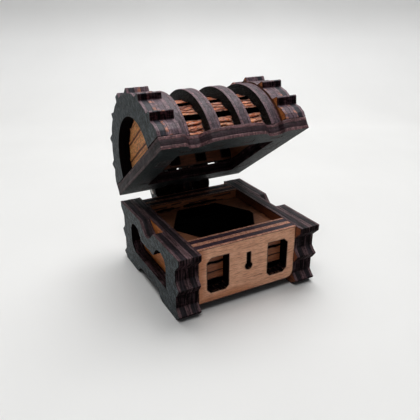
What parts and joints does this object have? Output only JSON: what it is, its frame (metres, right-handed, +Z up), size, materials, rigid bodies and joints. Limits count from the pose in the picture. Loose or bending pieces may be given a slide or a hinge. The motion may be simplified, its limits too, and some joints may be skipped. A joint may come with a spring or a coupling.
{
  "type": "dice storage chest",
  "caption": "Miniature treasure chest of laser-cut plywood: a tray with a hexagonal die hole under a ribbed barrel lid on a rear pin hinge.",
  "frame": {"origin": "on the floor, at the centre of the box's footprint", "axes": "+X to the chest's right seen from the front, front at -Y, +Z up"},
  "size_m": [0.0406, 0.0452, 0.052],
  "materials": {
    "ply_natural": "oiled plywood, engraved planks",
    "ply_panel": "bare plywood, charred cut edges",
    "ply_stained": "dark stained face, purple-brown laser-cut edges",
    "steel_pin": "plain steel wire"
  },
  "bodies": {
    "base": {"bottom_plate": "ply_natural", "tray_plate": "ply_natural", "front_wall": "ply_natural", "back_wall": "ply_natural", "front_panel": "ply_panel", "back_panel": "ply_panel", "left_inner_wall": "ply_natural", "right_inner_wall": "ply_natural", "left_side_frame": "ply_stained", "right_side_frame": "ply_stained", "box_knuckle_left": "ply_stained", "box_knuckle_middle": "ply_stained", "box_knuckle_right": "ply_stained", "hinge_pin": "steel_pin"},
    "lid": {"lid_frame": "ply_stained", "left_end_frame": "ply_stained", "left_end_panel": "ply_natural", "right_end_panel": "ply_natural", "right_end_frame": "ply_stained", "rib_1": "ply_stained", "rib_2": "ply_stained", "rib_3": "ply_stained", "rib_4": "ply_stained", "slat_1": "ply_natural", "slat_2": "ply_natural", "slat_3": "ply_natural", "slat_4": "ply_natural", "slat_5": "ply_natural", "slat_6": "ply_natural", "slat_7": "ply_natural", "slat_8": "ply_natural", "lid_knuckle_left": "ply_stained", "lid_knuckle_middle": "ply_stained", "lid_knuckle_right": "ply_stained"}
  },
  "joints": [
    {"name": "lid_hinge", "type": "hinge", "parent": "base", "child": "lid", "pos_m": [0, 0.02265, 0.0178], "axis": [-1, 0, 0], "range_deg": [-34.1, 70.9]}
  ]
}
